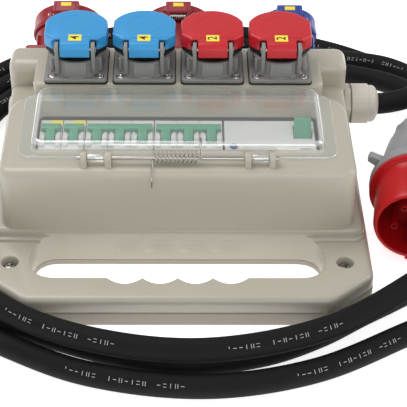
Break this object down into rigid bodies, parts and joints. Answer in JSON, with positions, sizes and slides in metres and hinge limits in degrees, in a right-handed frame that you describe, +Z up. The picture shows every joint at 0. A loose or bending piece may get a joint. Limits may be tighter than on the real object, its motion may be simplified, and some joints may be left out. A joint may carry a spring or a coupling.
{
  "type": "portable power distribution box",
  "caption": "Portable power distribution box with handle plate, clear breaker flap, lidded outlets on deck and back wall, and a coiled supply cable with plug.",
  "frame": {"origin": "centre of the housing's underside, on the table it rests on, midway between the two side walls", "axes": "+X to the right with the handle plate towards the viewer, +Y towards the slanted back wall, +Z up"},
  "size_m": [0.5317, 0.4863, 0.131],
  "materials": {
    "housing": "fine matt grain",
    "clear_flap": "clear polycarbonate, gloss",
    "steel": "bright",
    "breaker_white": "satin",
    "lever_green": "satin",
    "button_blue": "satin",
    "outlet_grey": "satin",
    "seal_black": "matt",
    "lid_blue": "satin",
    "lid_red": "satin",
    "industrial_red": "satin",
    "industrial_blue": "satin",
    "gland_cream": "matt",
    "cable_rubber": "matt",
    "plug_red": "satin",
    "plug_grey": "satin"
  },
  "bodies": {
    "root": {"base_tray": "housing", "top_cover": "housing", "cover_screw_left": "steel", "cover_screw_right": "steel", "din_rail": "steel", "mcb_1p_left": "breaker_white", "mcb_1p_right": "breaker_white", "mcb_3p_left": "breaker_white", "mcb_3p_right": "breaker_white", "rcd_4p": "breaker_white", "flap_hinge_rod": "steel", "flap_spring": "steel", "socket_gasket_1": "seal_black", "socket_body_1": "outlet_grey", "socket_insert_1": "outlet_grey", "socket_gasket_2": "seal_black", "socket_body_2": "outlet_grey", "socket_insert_2": "outlet_grey", "socket_gasket_3": "seal_black", "socket_body_3": "outlet_grey", "socket_insert_3": "outlet_grey", "socket_gasket_4": "seal_black", "socket_body_4": "outlet_grey", "socket_insert_4": "outlet_grey", "cee_body_1": "industrial_red", "cee_insert_1": "plug_grey", "cee_body_2": "industrial_red", "cee_insert_2": "plug_grey", "cee_body_3": "industrial_blue", "cee_insert_3": "plug_grey", "cable_gland_body": "gland_cream", "gland_dome_nut": "gland_cream", "blanking_plug": "gland_cream", "supply_cable": "cable_rubber", "plug_collar": "plug_red", "plug_body": "plug_grey", "plug_cable_nut": "plug_grey", "plug_insert": "plug_red"},
    "flap": {"window_flap": "clear_flap", "flap_spring_arm": "steel"},
    "outlet_lid_1": {"socket_lid_1": "lid_blue", "socket_lid_seal_1": "seal_black"},
    "outlet_lid_2": {"socket_lid_2": "lid_blue", "socket_lid_seal_2": "seal_black"},
    "outlet_lid_3": {"socket_lid_3": "lid_red", "socket_lid_seal_3": "seal_black"},
    "outlet_lid_4": {"socket_lid_4": "lid_red", "socket_lid_seal_4": "seal_black"},
    "industrial_lid_1": {"cee_lid_1": "industrial_red"},
    "industrial_lid_2": {"cee_lid_2": "industrial_red"},
    "industrial_lid_3": {"cee_lid_3": "industrial_blue"},
    "mcb_1p_left_toggle": {"mcb_1p_left_lever": "lever_green"},
    "mcb_1p_right_toggle": {"mcb_1p_right_lever": "lever_green"},
    "mcb_3p_left_toggle": {"mcb_3p_left_lever": "lever_green"},
    "mcb_3p_right_toggle": {"mcb_3p_right_lever": "lever_green"},
    "rcd_toggle": {"rcd_lever": "lever_green"},
    "rcd_button": {"rcd_test_button": "button_blue"}
  },
  "joints": [
    {"name": "flap_hinge", "type": "hinge", "parent": "root", "child": "flap", "pos_m": [0, -0.04, 0.0925], "axis": [1, 0, 0], "range_deg": [0, 105]},
    {"name": "outlet_lid_1_hinge", "type": "hinge", "parent": "root", "child": "outlet_lid_1", "pos_m": [-0.0825, 0.0615, 0.124], "axis": [1, 0, 0], "range_deg": [0, 110]},
    {"name": "outlet_lid_2_hinge", "type": "hinge", "parent": "root", "child": "outlet_lid_2", "pos_m": [-0.0275, 0.0615, 0.124], "axis": [1, 0, 0], "range_deg": [0, 110]},
    {"name": "outlet_lid_3_hinge", "type": "hinge", "parent": "root", "child": "outlet_lid_3", "pos_m": [0.0275, 0.0615, 0.124], "axis": [1, 0, 0], "range_deg": [0, 110]},
    {"name": "outlet_lid_4_hinge", "type": "hinge", "parent": "root", "child": "outlet_lid_4", "pos_m": [0.0825, 0.0615, 0.124], "axis": [1, 0, 0], "range_deg": [0, 110]},
    {"name": "industrial_lid_1_hinge", "type": "hinge", "parent": "root", "child": "industrial_lid_1", "pos_m": [-0.0955, 0.14287, 0.10648], "axis": [1, 0, 0], "range_deg": [0, 105]},
    {"name": "industrial_lid_2_hinge", "type": "hinge", "parent": "root", "child": "industrial_lid_2", "pos_m": [0, 0.14287, 0.10648], "axis": [1, 0, 0], "range_deg": [0, 105]},
    {"name": "industrial_lid_3_hinge", "type": "hinge", "parent": "root", "child": "industrial_lid_3", "pos_m": [0.0955, 0.14518, 0.10204], "axis": [1, 0, 0], "range_deg": [0, 105]},
    {"name": "mcb_1p_left_switch", "type": "hinge", "parent": "root", "child": "mcb_1p_left_toggle", "pos_m": [-0.1008, 0.0065, 0.072], "axis": [1, 0, 0], "range_deg": [0, 70]},
    {"name": "mcb_1p_right_switch", "type": "hinge", "parent": "root", "child": "mcb_1p_right_toggle", "pos_m": [-0.0826, 0.0065, 0.072], "axis": [1, 0, 0], "range_deg": [0, 70]},
    {"name": "mcb_3p_left_switch", "type": "hinge", "parent": "root", "child": "mcb_3p_left_toggle", "pos_m": [-0.0462, 0.0065, 0.072], "axis": [1, 0, 0], "range_deg": [0, 70]},
    {"name": "mcb_3p_right_switch", "type": "hinge", "parent": "root", "child": "mcb_3p_right_toggle", "pos_m": [0.0082, 0.0065, 0.072], "axis": [1, 0, 0], "range_deg": [0, 70]},
    {"name": "rcd_switch", "type": "hinge", "parent": "root", "child": "rcd_toggle", "pos_m": [0.0988, 0.0145, 0.072], "axis": [1, 0, 0], "range_deg": [0, 50]},
    {"name": "rcd_test_press", "type": "slide", "parent": "root", "child": "rcd_button", "axis": [0, 0, -1], "range_m": [0, 0.0015]}
  ]
}
